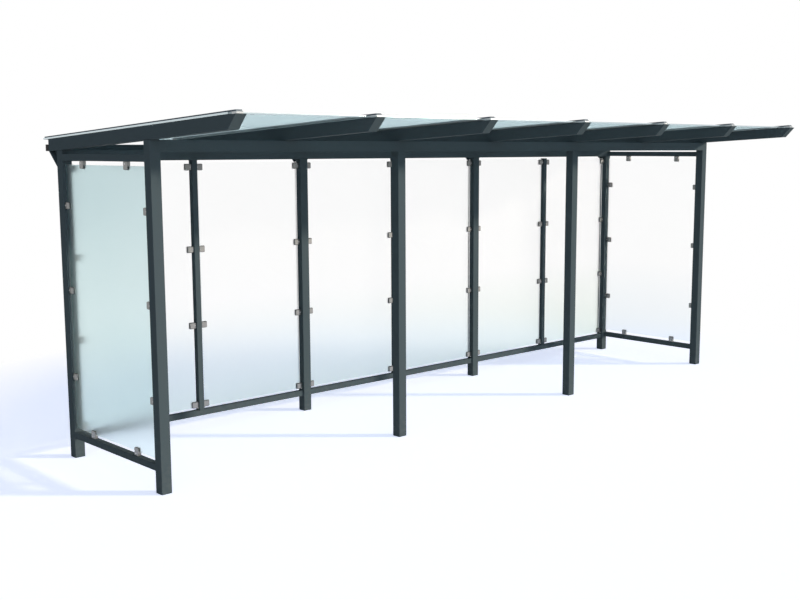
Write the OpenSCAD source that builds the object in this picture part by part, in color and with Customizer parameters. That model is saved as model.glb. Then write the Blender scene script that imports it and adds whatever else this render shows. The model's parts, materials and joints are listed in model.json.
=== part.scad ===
// Open-fronted cycle shelter: eight square posts, two beams, seven raked
// rafters with a glass roof, and frosted glass walls on the back and both ends.
// Millimetres. X runs along the front, Y from the front to the back, Z is up.
// The origin is at floor level under the middle of the whole part.

/* [Posts and beams] */
// Side of the square posts and beams
post_w = 80; // [60:5:120]
// Wall thickness of posts and beams
post_t = 4; // [2:0.5:8]
// Outer corner radius of posts, beams and rafters
post_r = 3; // [2:0.5:12]
// Distance from one post to the next along the front
bay_pitch = 2220; // [1600:10:2800]
// Clear distance between the front row and the back row of posts
row_gap = 1205; // [900:5:2000]
// Clear height under the front beam
front_clear = 2350; // [2150:10:2700]
// How much lower the back beam sits than the front beam
roof_fall = 70; // [30:5:200]
// Thickness of the plate that closes each foot
foot_t = 8; // [4:1:15]

/* [Rafters] */
// How far each rafter side sits in from the post side below it
rafter_in = 0; // [0:1:10]
// Depth of each rafter, square to its length
rafter_d = 90; // [60:5:140]
// Wall thickness of the rafters
rafter_t = 4; // [3:0.5:6]
// How far the rafter tips stand in front of the front posts
front_over = 1010; // [500:10:1400]
// How far the lower edge is set back from the tip by the raked cut
nose_cut = 95; // [20:5:150]
// How far the rafters run past the back posts
rear_over = 130; // [90:5:300]
// Radius of the vent hole hidden behind the tail rail
vent_r = 8; // [4:1:12]

/* [Tail rail and brackets] */
// Side of the square tail rail
tail_w = 50; // [30:5:70]
// Wall thickness of the tail rail
tail_t = 3; // [2:0.5:5]
// Depth left free at each end of the tail rail for a push-in plug
tail_plug = 4; // [0:1:10]
// Height of the tail rail above the rafters' lower edge
tail_lift = 2; // [0:1:15]
// How far each bracket reaches behind its post
bracket_reach = 125; // [60:5:125]
// How far each bracket drops below the beam's top
bracket_drop = 120; // [90:5:250]
// Plate thickness of the brackets
bracket_t = 8; // [5:1:12]

/* [Roof glass and bars] */
// Thickness of the roof panes
roof_glass_t = 12; // [8:1:20]
// Thickness of the gasket strips under the panes
gasket_t = 3; // [2:1:12]
// How far a gasket strip sits in from the rafter's sides
gasket_in = 5; // [1:1:12]
// How far the panes' front edge is set back from the rafter tips
glass_set = 85; // [70:5:150]
// How far the panes run past the rafters' back ends
glass_tail = 80; // [55:5:150]
// Gap between two panes over a rafter
pane_gap = 10; // [4:1:20]
// How far the outer panes' side edges sit in from the rafters' sides
edge_in = 2; // [0:1:10]
// How far a cover bar sits in from the rafter's sides
bar_in = 15; // [8:1:24]
// Height of the cover bars
bar_h = 11; // [8:1:20]
// Bevel along the cover bars' upper edges
bar_bevel = 3; // [1:0.5:5]
// How far the bars' front end is set back from the rafter tips
bar_set = 25; // [15:1:45]
// How far the bars run past the panes' back edge
bar_tail = 10; // [2:1:30]
// Depth of the quarter-round nose of each end cap
cap_t = 12; // [4:1:14]
// Height of the nose of each end cap
cap_h = 20; // [18:1:24]
// Radius of the nose's upper corners, seen from the front
cap_r = 10; // [2:1:16]

/* [Wall rails and mullions] */
// Side of the square rails and mullions
rail_w = 50; // [36:2:60]
// Wall thickness of the rails and mullions
rail_t = 3; // [2:0.5:5]
// Outer corner radius of the rails and mullions
rail_r = 3; // [2:0.5:8]
// Height of the back bottom rails above the floor
back_rail_z = 138; // [60:2:300]
// Height of the side bottom rails above the floor
side_rail_z = 158; // [60:2:300]
// Height of the side top rails' underside above the back beam's underside
top_rail_rise = 5; // [-40:5:20]
// How far the last mullion stops short of the back beam
mullion_short = 15; // [5:1:40]

/* [Wall glass and clamps] */
// Thickness of the wall panes
wall_glass_t = 8; // [6:1:12]
// Gap between a back pane and the frame around it
glass_gap = 20; // [8:1:30]
// Gap between a side pane and the front post
side_gap_front = 28; // [8:1:34]
// Gap between a side pane and the back post
side_gap_back = 12; // [8:1:34]
// Gap above and below a side pane
side_gap_ends = 30; // [8:1:34]
// Size of a clamp along the member it is fixed to
clamp_w = 52; // [30:2:60]
// Size of a clamp away from the member it is fixed to
clamp_out = 57; // [50:1:70]
// Thickness of a clamp through the glass
clamp_t = 30; // [20:1:34]
// Radius of a clamp's outer corners
clamp_r = 9; // [2:1:14]
// Bevel along a clamp's outer edges
clamp_bevel = 4; // [1:0.5:5]
// Middle of the lowest back clamps above the back rail
clamp_low = 45; // [45:1:200]
// Middle of the highest back clamps below the back beam
clamp_high = 57; // [50:1:200]
// Place of the inner back clamps, as a share of the outer ones' distance
clamp_share = 0.34; // [0.25:0.01:0.45]
// Middle of the lowest side clamps above the bottom rail
side_clamp_low = 436; // [100:2:700]
// Middle of the highest side clamps below the top rail
side_clamp_high = 334; // [100:2:700]
// Place of the middle side clamps between the lowest and the highest
side_clamp_share = 0.51; // [0.3:0.01:0.7]
// Middle of the top and bottom side clamps from the posts
side_clamp_in = 280; // [100:5:350]

/* [Hidden] */
bays = 3;
eps = 1;
arc_fn = 48;
total_l = bays * bay_pitch + post_w;
rafter_w = post_w - 2 * rafter_in;
gasket_w = rafter_w - 2 * gasket_in;
bar_w = rafter_w - 2 * bar_in;
row_pitch = row_gap + post_w;
front_top = front_clear + post_w;
back_clear = front_clear - roof_fall;
back_top = back_clear + post_w;
slope = roof_fall / row_pitch;
tilt = atan(slope);
back_y = row_pitch;
back_face = back_y + post_w;
tip_y = -front_over;
tail_y = back_face + rear_over;
rafter_x = [for (i = [0 : 2 * bays]) post_w / 2 + i * bay_pitch / 2];
// the rafters' lower line and upper line over a place along Y
function low(y) = front_top - (y - post_w) * slope;
function seat(y) = low(y) + rafter_d / cos(tilt);
// a place given as the distance along the rafters' top from the tip and the height square to it
function on_slope(s, h) =
    [tip_y + s * cos(tilt) + h * sin(tilt), seat(tip_y) - s * sin(tilt) + h * cos(tilt)];
function rake(s, h) = on_slope(s - h * nose_cut / rafter_d, h);
rafter_l = (tail_y - tip_y) / cos(tilt);
glass_end = rafter_l + glass_tail;
bar_end = glass_end + bar_tail;
// heights of the layers above the rafters' top
gasket_top = gasket_t;
pane_top = gasket_t + roof_glass_t;
bar_top = pane_top + bar_h;
tail_z = low(tail_y) + tail_lift;
// the whole part runs from the rafter tips to the upper edge of the bars' back ends
shift_y = -(tip_y + on_slope(bar_end, bar_top)[0]) / 2;
// walls
back_mid = back_y + post_w / 2;
back_rail_top = back_rail_z + rail_w;
side_rail_top = side_rail_z + rail_w;
top_rail_z = back_clear + top_rail_rise;
clear_x = bay_pitch - post_w;
pane_w = (clear_x - rail_w) / 2 - 2 * glass_gap;
back_pane_z0 = back_rail_top + glass_gap;
back_pane_z1 = back_clear - glass_gap;
side_pane_y0 = post_w + side_gap_front;
side_pane_y1 = back_y - side_gap_back;
side_pane_z0 = side_rail_top + side_gap_ends;
side_pane_z1 = top_rail_z - side_gap_ends;
side_mid = rail_w / 2;
clamp_z0 = back_rail_top + clamp_low;
clamp_z3 = back_clear - clamp_high;
back_rows = [clamp_z0, clamp_z0 + clamp_share * (clamp_z3 - clamp_z0),
    clamp_z3 - clamp_share * (clamp_z3 - clamp_z0), clamp_z3];
side_z0 = side_rail_top + side_clamp_low;
side_z2 = top_rail_z - side_clamp_high;
side_rows = [side_z0, side_z0 + side_clamp_share * (side_z2 - side_z0), side_z2];
side_cols = [post_w + side_clamp_in, back_y - side_clamp_in];

frame_grey = [0.09, 0.11, 0.13];
frosted = [0.78, 0.87, 0.88, 0.7];
clear_pale = [0.80, 0.87, 0.87, 0.45];
gasket_grey = [0.45, 0.46, 0.47];
bar_grey = [0.24, 0.27, 0.29];
cap_grey = [0.62, 0.63, 0.64];
steel_grey = [0.48, 0.49, 0.50];

// moves a piece from post coordinates to the part's own frame
module place() translate([-total_l / 2, shift_y, 0]) children();

// upright outline in X and Z, drawn from y0 for a depth d
module along_y(y0, d, pts)
    translate([0, y0 + d, 0]) rotate([90, 0, 0]) linear_extrude(height = d) polygon(pts);

// side outline in Y and Z, drawn from x0 for a width w
module along_x(x0, w, pts) translate([x0, 0, 0]) rotate([90, 0, 90]) linear_extrude(height = w) polygon(pts);

// rectangle with round corners, drawn from its lower left corner
module rounded(w, d, r) {
    translate([r, 0]) square([w - 2 * r, d]);
    translate([0, r]) square([w, d - 2 * r]);
    for (x = [r, w - r], y = [r, d - r]) translate([x, y]) circle(r = r, $fn = arc_fn);
}

// bar with a round-cornered section; dir 0 runs along X, 1 along Y, 2 up
module bar(pos, len, dir, w, r) translate(pos + [0, dir == 1 ? len : 0, 0])
    rotate([dir == 2 ? 0 : 90, 0, dir == 0 ? 90 : 0]) linear_extrude(height = len) rounded(w, w, r);

// square tube, open at both ends; dir as above
module tube(pos, len, dir, w, t, r) difference() {
    bar(pos, len, dir, w, r);
    hollow(pos, len, dir, w, t, r);
}

// the space inside a square tube, a little longer than the tube
module hollow(pos, len, dir, w, t, r)
    bar(pos + [for (axis = [0 : 2]) axis == dir ? -eps : t], len + 2 * eps, dir, w - 2 * t, max(r - t, eps));

// post under a beam: kind -1 is the left end, 0 an inner post, 1 the right end
module post(x, y, clear, kind) difference() {
    intersection() {
        bar([x, y, 0], clear + 2 * post_w, 2, post_w, post_r);
        along_y(y - eps, post_w + 2 * eps, [[x - eps, -eps], [x + post_w + eps, -eps],
            [x + post_w + eps, clear + (kind > 0 ? post_w + eps : kind * eps)],
            [x - eps, clear + (kind < 0 ? post_w + eps : -kind * eps)]]);
    }
    hollow([x, y, foot_t + eps], clear + 2 * post_w, 2, post_w, post_t, post_r);
}

// beam with both ends mitred to the end posts
module beam(y, clear) intersection() {
    tube([-eps, y, clear], total_l + 2 * eps, 0, post_w, post_t, post_r);
    along_y(y - eps, post_w + 2 * eps, [[-eps, clear + post_w + eps], [post_w + eps, clear - eps],
        [total_l - post_w - eps, clear - eps], [total_l + eps, clear + post_w + eps]]);
}

module front_post(i) color(frame_grey) place()
    post(i * bay_pitch, 0, front_clear, i == 0 ? -1 : i == bays ? 1 : 0);

module back_post(i) color(frame_grey) place()
    post(i * bay_pitch, back_y, back_clear, i == 0 ? -1 : i == bays ? 1 : 0);

module front_beam() color(frame_grey) place() beam(0, front_clear);
module back_beam() color(frame_grey) place() beam(back_y, back_clear);

// raked rafter with a packing wedge on each beam and both ends closed
module rafter(i) color(frame_grey) place() {
    x = rafter_x[i];
    // the wedges stay within the flat of the underside
    wedge_w = rafter_w - 2 * post_r - 4 * eps;
    difference() {
        rafter_solid(x, 0, post_r, 0, tail_y);
        rafter_solid(x, rafter_t, max(post_r - rafter_t, eps), 2 * rafter_t, tail_y - rafter_t);
        translate([x, tail_y + eps, tail_z + tail_w / 2])
            rotate([90, 0, 0]) cylinder(h = 3 * rafter_t, r = vent_r, $fn = 24);
    }
    for (y = [0, back_y], end = y + post_w) along_x(x - wedge_w / 2, wedge_w,
        [[y, low(end)], [end, low(end)], [end, low(end) + rafter_t / 2], [y, low(y) + rafter_t / 2]]);
}

// rafter shape set in from the outer one on all four sides, between the raked nose and y_end
module rafter_solid(x, inset, r, nose, y_end) intersection() {
    on_rafter(x - rafter_w / 2 + inset) translate([0, rafter_l + rafter_d, inset - rafter_d])
        rotate([90, 0, 0]) linear_extrude(height = rafter_l + 3 * rafter_d)
            rounded(rafter_w - 2 * inset, rafter_d - 2 * inset, r);
    along_x(x - rafter_w, 2 * rafter_w, [rake(nose, -2 * rafter_d), [y_end, low(y_end) - rafter_d],
        [y_end, seat(y_end) + rafter_d], rake(nose, rafter_d)]);
}

// moves a piece from the rafters' top line, Y along the slope from the tip and Z square to it
module on_rafter(x) translate([x, tip_y, seat(tip_y)]) rotate([-tilt, 0, 0]) children();

// square tail rail behind the rafter ends, open at both ends
module tail_rail() color(frame_grey) place() {
    inset = rafter_in + tail_plug;
    tube([inset, tail_y, tail_z], total_l - 2 * inset, 0, tail_w, tail_t, rail_r);
}

// haunch behind each back post: a sloping flange on a central web
module tail_brackets() color(frame_grey) place() for (i = [0 : bays]) tail_bracket(i * bay_pitch);

module tail_bracket(x) {
    y1 = back_face + bracket_reach;
    z0 = back_top - bracket_drop;
    rise = bracket_t * sqrt(pow(bracket_reach, 2) + pow(low(y1) - z0, 2)) / bracket_reach;
    run = rise * bracket_reach / (low(y1) - z0);
    along_x(x + rafter_in, rafter_w,
        [[back_face, z0], [y1, low(y1)], [y1 - run, low(y1 - run)], [back_face, z0 + rise]]);
    along_x(x + (post_w - bracket_t) / 2, bracket_t,
        [[back_face, z0 + rise / 2], [y1 - run / 2, low(y1 - run / 2)], [back_face, back_top]]);
}

module rail(pos, len, dir) tube(pos, len, dir, rail_w, rail_t, rail_r);

module side_rail(side, z) color(frame_grey) place()
    rail([side < 0 ? 0 : total_l - rail_w, post_w, z], row_gap, 1);

module back_rail(i) color(frame_grey) place()
    rail([i * bay_pitch + post_w, back_mid - rail_w / 2, back_rail_z], clear_x, 0);

// mullion between a back rail and the back beam; the last one is shorter and capped
module mullion(i) color(frame_grey) place() {
    last = i == bays - 1;
    len = back_clear - back_rail_top - (last ? mullion_short + rail_t : 0);
    foot = [i * bay_pitch + (bay_pitch + post_w - rail_w) / 2, back_mid - rail_w / 2, back_rail_top];
    rail(foot, len, 2);
    if (last) bar(foot + [0, 0, len], rail_t, 2, rail_w, rail_r);
}

// two frosted panes, one on each side of the bay's mullion
module back_glass(i) color(frosted) place() for (k = [0, 1])
    translate([i * bay_pitch + post_w + glass_gap + k * (pane_w + rail_w + 2 * glass_gap),
        back_mid - wall_glass_t / 2, back_pane_z0])
        cube([pane_w, wall_glass_t, back_pane_z1 - back_pane_z0]);

module side_glass(side) color(frosted) place()
    translate([(side < 0 ? side_mid : total_l - side_mid) - wall_glass_t / 2, side_pane_y0, side_pane_z0])
        cube([wall_glass_t, side_pane_y1 - side_pane_y0, side_pane_z1 - side_pane_z0]);

// sloping plate between two places along the rafters and two heights above them
module plate(x0, x1, s0, s1, h0, h1)
    on_rafter(x0) translate([0, s0, h0]) cube([x1 - x0, s1 - s0, h1 - h0]);

module roof_glass(i) color(clear_pale) place() plate(
    i == 0 ? rafter_in + edge_in : rafter_x[i] + pane_gap / 2,
    i == 2 * bays - 1 ? total_l - rafter_in - edge_in : rafter_x[i + 1] - pane_gap / 2,
    glass_set, glass_end, gasket_top, pane_top);

module roof_gaskets() color(gasket_grey) place() for (x = rafter_x)
    plate(x - gasket_w / 2, x + gasket_w / 2, glass_set, rafter_l, 0, gasket_top);

// flat bar with bevelled upper edges over the joint between two panes
module cover_bars() color(bar_grey) place() for (x = rafter_x)
    on_rafter(x - bar_w / 2) translate([0, bar_end, pane_top]) rotate([90, 0, 0])
        linear_extrude(height = bar_end - bar_set) polygon([[0, 0], [bar_w, 0], [bar_w, bar_h - bar_bevel],
            [bar_w - bar_bevel, bar_h], [bar_bevel, bar_h], [0, bar_h - bar_bevel]]);

// cap with a quarter-round nose, closing the space under each bar's front end
module bar_end_caps() color(cap_grey) place() for (x = rafter_x) {
    plate(x - bar_w / 2, x + bar_w / 2, bar_set, glass_set, 0, pane_top);
    on_rafter(x - bar_w / 2) intersection() {
        translate([-eps, bar_set, 0]) rotate([90, 0, 90])
            linear_extrude(height = bar_w + 2 * eps) nose_side();
        translate([0, bar_set + eps, 0]) rotate([90, 0, 0])
            linear_extrude(height = cap_t + 2 * eps) nose_front();
    }
}

// the nose seen from its side, ahead of the bar's front end
module nose_side() {
    translate([-cap_t, 0]) square([cap_t, cap_h - cap_t]);
    translate([0, cap_h - cap_t]) intersection() {
        circle(r = cap_t, $fn = arc_fn);
        translate([-cap_t, 0]) square(cap_t);
    }
}

// the nose seen from the front, round at its upper corners
module nose_front() {
    translate([0, -eps]) square([bar_w, cap_h - cap_r + eps]);
    translate([cap_r, -eps]) square([bar_w - 2 * cap_r, cap_h + eps]);
    for (x = [cap_r, bar_w - cap_r]) translate([x, cap_h - cap_r]) circle(r = cap_r, $fn = arc_fn);
}

// clamp drawn with its back on the YZ plane, reaching along +X, glass in the XZ plane beyond the gap
module clamp(gap) {
    end = clamp_out + clamp_t / 2 - clamp_bevel;
    side = (clamp_w + clamp_t) / 2 - clamp_bevel;
    difference() {
        intersection() {
            // round outer corners, seen square to the glass
            translate([0, clamp_t / 2, -clamp_w / 2]) rotate([90, 0, 0])
                linear_extrude(height = clamp_t) clamp_face();
            // bevels of the outer end, seen along the member
            translate([0, 0, -clamp_w]) linear_extrude(height = 2 * clamp_w)
                polygon([[-eps, -end - eps], [end, 0], [-eps, end + eps]]);
            // bevels of both sides, seen from the outer end
            translate([-eps, 0, 0]) rotate([90, 0, 90]) linear_extrude(height = clamp_out + 2 * eps)
                polygon([[-side, 0], [0, -side], [side, 0], [0, side]]);
        }
        translate([gap, -wall_glass_t / 2, -clamp_w])
            cube([clamp_out, wall_glass_t, 2 * clamp_w]);
    }
}

module clamp_face() {
    square([clamp_out - clamp_r, clamp_w]);
    translate([0, clamp_r]) square([clamp_out, clamp_w - 2 * clamp_r]);
    for (z = [clamp_r, clamp_w - clamp_r])
        translate([clamp_out - clamp_r, z]) circle(r = clamp_r, $fn = arc_fn);
}

module back_clamps() color(steel_grey) place() for (i = [0 : bays - 1], z = back_rows) {
    x0 = i * bay_pitch + post_w;
    for (k = [0, 1]) {
        xk = x0 + k * (clear_x + rail_w) / 2;
        translate([xk, back_mid, z]) clamp(glass_gap);
        translate([xk + (clear_x - rail_w) / 2, back_mid, z]) rotate([0, 0, 180]) clamp(glass_gap);
    }
}

module side_clamps() color(steel_grey) place() for (x = [side_mid, total_l - side_mid]) {
    for (z = side_rows) {
        translate([x, post_w, z]) rotate([0, 0, 90]) clamp(side_gap_front);
        translate([x, back_y, z]) rotate([0, 0, -90]) clamp(side_gap_back);
    }
    for (y = side_cols) {
        translate([x, y, side_rail_top]) rotate([0, 0, 90]) rotate([0, -90, 0]) clamp(side_gap_ends);
        translate([x, y, top_rail_z]) rotate([0, 0, 90]) rotate([0, 90, 0]) clamp(side_gap_ends);
    }
}

front_post(0);  // front_post_1
front_post(1);  // front_post_2
front_post(2);  // front_post_3
front_post(3);  // front_post_4
back_post(0);  // back_post_1
back_post(1);  // back_post_2
back_post(2);  // back_post_3
back_post(3);  // back_post_4
front_beam();
back_beam();
rafter(0);  // rafter_1
rafter(1);  // rafter_2
rafter(2);  // rafter_3
rafter(3);  // rafter_4
rafter(4);  // rafter_5
rafter(5);  // rafter_6
rafter(6);  // rafter_7
tail_rail();
tail_brackets();
side_rail(-1, top_rail_z);  // side_top_rail_left
side_rail(1, top_rail_z);  // side_top_rail_right
side_rail(-1, side_rail_z);  // side_bottom_rail_left
side_rail(1, side_rail_z);  // side_bottom_rail_right
back_rail(0);  // back_rail_1
back_rail(1);  // back_rail_2
back_rail(2);  // back_rail_3
mullion(0);  // mullion_1
mullion(1);  // mullion_2
mullion(2);  // mullion_3
back_glass(0);  // back_glass_1
back_glass(1);  // back_glass_2
back_glass(2);  // back_glass_3
side_glass(-1);  // side_glass_left
side_glass(1);  // side_glass_right
roof_glass(0);  // roof_glass_1
roof_glass(1);  // roof_glass_2
roof_glass(2);  // roof_glass_3
roof_glass(3);  // roof_glass_4
roof_glass(4);  // roof_glass_5
roof_glass(5);  // roof_glass_6
roof_gaskets();
cover_bars();
bar_end_caps();
back_clamps();
side_clamps();
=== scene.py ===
"""Looks of an open-fronted glazed bicycle shelter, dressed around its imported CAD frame."""

import json
import logging
import math
from dataclasses import dataclass, field
from enum import Enum
from typing import Iterable, Sequence

import bmesh
import bpy
from mathutils import Matrix, Vector


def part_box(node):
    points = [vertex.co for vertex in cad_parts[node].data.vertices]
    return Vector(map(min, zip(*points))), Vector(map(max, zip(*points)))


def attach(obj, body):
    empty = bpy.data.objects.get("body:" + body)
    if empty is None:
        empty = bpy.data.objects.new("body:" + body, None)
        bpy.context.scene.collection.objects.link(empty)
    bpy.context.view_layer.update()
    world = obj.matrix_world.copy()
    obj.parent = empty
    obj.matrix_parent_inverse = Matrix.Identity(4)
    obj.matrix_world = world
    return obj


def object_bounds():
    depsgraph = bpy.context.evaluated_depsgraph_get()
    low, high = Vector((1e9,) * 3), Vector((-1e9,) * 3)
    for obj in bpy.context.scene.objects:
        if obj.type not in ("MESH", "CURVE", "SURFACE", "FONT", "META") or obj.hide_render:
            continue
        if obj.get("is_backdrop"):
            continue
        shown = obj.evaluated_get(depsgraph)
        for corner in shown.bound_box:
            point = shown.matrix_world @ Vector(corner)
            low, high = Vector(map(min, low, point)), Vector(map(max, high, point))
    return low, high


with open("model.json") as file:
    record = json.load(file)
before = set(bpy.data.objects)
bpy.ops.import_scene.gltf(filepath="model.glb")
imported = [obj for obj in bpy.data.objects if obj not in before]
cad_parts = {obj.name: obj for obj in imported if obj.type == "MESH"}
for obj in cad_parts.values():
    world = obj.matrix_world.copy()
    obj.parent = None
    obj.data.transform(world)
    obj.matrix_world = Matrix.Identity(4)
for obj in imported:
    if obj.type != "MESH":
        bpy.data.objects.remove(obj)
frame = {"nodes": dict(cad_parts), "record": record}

LOG = logging.getLogger("bicycle_shelter")
BODY = "root"
MM = 0.001
NOISE_MIDDLE = (0.3, 0.7)
SAME_POINT = 1e-5
HAIR = 1e-6
PARALLEL = 0.99
Box = tuple[Vector, Vector]
Colour = tuple[float, float, float]
Triple = tuple[float, float, float]
Range = tuple[float, float]


class Slot(Enum):
    """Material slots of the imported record."""

    FRAME = "frame"
    WALL_GLASS = "wall_glass"
    ROOF_GLASS = "roof_glass"
    GASKET = "gasket"
    COVER_BAR = "cover_bar"
    END_CAP = "end_cap"
    CLAMP = "clamp"


class Finish(Enum):
    """Finishes that the shelter's pieces wear."""

    STEEL = "steel"
    BACK_PANE = "back_pane"
    RIGHT_PANE = "right_pane"
    # Painted-shade copy of the wall glass, for the left side pane.
    LEFT_PANE = "left_pane"
    ROOF_PANE = "roof_pane"
    PANE_EDGE = "pane_edge"
    GASKET = "gasket"
    RUBBER = "rubber"
    PLUG = "plug"
    BAR = "bar"
    CAP = "cap"
    CLAMP = "clamp"
    SCREW = "screw"


class Axis(Enum):
    """Row axes by their index in a vector."""

    X = 0
    Y = 1
    Z = 2

    @property
    def unit(self) -> Vector:
        """The axis as a unit vector."""
        return Vector([1.0 if i == self.value else 0.0 for i in range(3)])

    def across(self, length: float) -> Vector:
        """The same length along both other axes."""
        return Vector([0.0 if i == self.value else length for i in range(3)])


class End(Enum):
    """The two ends of a box along an axis, by the index of its corner."""

    LOW = 0
    HIGH = 1

    @property
    def outward(self) -> int:
        """The sign of the direction that leaves the box there."""
        return 2 * self.value - 1


class Socket(Enum):
    """Kinds of socket on a node group."""

    VECTOR = "NodeSocketVector"
    COLOUR = "NodeSocketColor"
    NUMBER = "NodeSocketFloat"


# ---------------------------------------------------------------- shader tools


class Graph:
    """Small wrapper that adds and links nodes in a material, group or world tree."""

    def __init__(self, tree: bpy.types.NodeTree) -> None:
        """Keeps the tree that nodes are added to.

        Args:
            tree: An empty or ready node tree.
        """
        self.tree = tree

    def add(self, kind: str, **values: object) -> bpy.types.Node:
        """Adds a node and sets its properties.

        Args:
            kind: The node's class name.
            values: Node properties, such as blend_type.

        Returns:
            The new node.
        """
        node = self.tree.nodes.new(kind)
        for key, value in values.items():
            setattr(node, key, value)
        return node

    def link(self, source: bpy.types.NodeSocket, target: bpy.types.NodeSocket) -> None:
        """Links one socket to another."""
        self.tree.links.new(source, target)

    def feed(self, value: object, socket: bpy.types.NodeSocket) -> None:
        """Links a socket or writes a plain value to an input.

        Args:
            value: A socket, a number or a vector.
            socket: The input that takes it.
        """
        if isinstance(value, bpy.types.NodeSocket):
            self.link(value, socket)
        else:
            socket.default_value = value

    def math(self, operation: str, a: object, b: object = 0.0) -> bpy.types.NodeSocket:
        """Adds a Math node.

        Args:
            operation: The node's operation.
            a: A socket or a number for the first input.
            b: A socket or a number for the second input.

        Returns:
            The node's output socket.
        """
        node = self.add("ShaderNodeMath", operation=operation)
        for socket, value in zip(node.inputs, (a, b)):
            self.feed(value, socket)
        return node.outputs[0]

    def blend(self, factor: object, a: object, b: object, how: str = "MIX") -> bpy.types.NodeSocket:
        """Adds a colour Mix node.

        Args:
            factor: A socket or a number.
            a: First colour, as a socket or four numbers.
            b: Second colour, as a socket or four numbers.
            how: The node's blend type.

        Returns:
            The mixed colour.
        """
        node = self.add("ShaderNodeMix", data_type="RGBA", blend_type=how)
        self.feed(factor, node.inputs[0])
        self.feed(a, node.inputs[6])
        self.feed(b, node.inputs[7])
        return node.outputs[2]

    def choose(self, factor: object, a: object, b: object) -> bpy.types.NodeSocket:
        """Adds a number Mix node.

        Args:
            factor: A socket or a number.
            a: Result at a factor of 0, as a socket or a number.
            b: Result at a factor of 1, as a socket or a number.

        Returns:
            The mixed number.
        """
        node = self.add("ShaderNodeMix", data_type="FLOAT")
        self.feed(factor, node.inputs[0])
        self.feed(a, node.inputs[2])
        self.feed(b, node.inputs[3])
        return node.outputs[0]

    def span(self, value: object, lo: object, hi: object, out_lo: object = 0.0,
             out_hi: object = 1.0) -> bpy.types.NodeSocket:
        """Maps a value from one range to another, clamped; each end is a socket or a number.

        Args:
            value: The socket to map.
            lo: Start of the input range.
            hi: End of the input range.
            out_lo: Result at lo.
            out_hi: Result at hi.

        Returns:
            The mapped value.
        """
        node = self.add("ShaderNodeMapRange")
        for socket, given in zip(node.inputs, (value, lo, hi, out_lo, out_hi)):
            self.feed(given, socket)
        return node.outputs[0]

    def noise(self, vector: bpy.types.NodeSocket, scale: object, octaves: float) -> bpy.types.NodeSocket:
        """Adds a noise texture.

        Args:
            vector: The socket with the position.
            scale: Features per metre, as a socket or a number.
            octaves: Layers of ever finer detail.

        Returns:
            The noise value, from 0 to 1.
        """
        node = self.add("ShaderNodeTexNoise")
        self.link(vector, node.inputs["Vector"])
        self.feed(scale, node.inputs["Scale"])
        node.inputs["Detail"].default_value = octaves
        return node.outputs["Fac"]

    def stretched(self, vector: bpy.types.NodeSocket, factors: Triple) -> bpy.types.NodeSocket:
        """Scales a position along each axis through a Mapping node.

        Args:
            vector: The socket with the position.
            factors: Scale along each axis.

        Returns:
            The scaled position.
        """
        node = self.add("ShaderNodeMapping")
        self.link(vector, node.inputs["Vector"])
        node.inputs["Scale"].default_value = factors
        return node.outputs["Vector"]

    def part(self, vector: bpy.types.NodeSocket, axis: Axis) -> bpy.types.NodeSocket:
        """Takes one component of a vector.

        Args:
            vector: The socket with the vector.
            axis: Which component.

        Returns:
            That component.
        """
        node = self.add("ShaderNodeSeparateXYZ")
        self.link(vector, node.inputs[0])
        return node.outputs[axis.value]


def new_group(name: str, inputs: dict[str, Socket],
              outputs: dict[str, Socket]) -> tuple[bpy.types.NodeTree, Graph, dict, dict]:
    """Makes an empty shader node group with named sockets.

    Args:
        name: The group's name.
        inputs: Kind of each input, by its name.
        outputs: Kind of each output, by its name.

    Returns:
        The group, its graph, its input sockets and its output sockets by name.
    """
    tree = bpy.data.node_groups.new(name, "ShaderNodeTree")
    for way, sockets in (("INPUT", inputs), ("OUTPUT", outputs)):
        for label, kind in sockets.items():
            tree.interface.new_socket(label, in_out=way, socket_type=kind.value)
    graph = Graph(tree)
    source, sink = graph.add("NodeGroupInput"), graph.add("NodeGroupOutput")
    return (tree, graph, {s.name: s for s in source.outputs if s.name},
            {s.name: s for s in sink.inputs if s.name})


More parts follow.
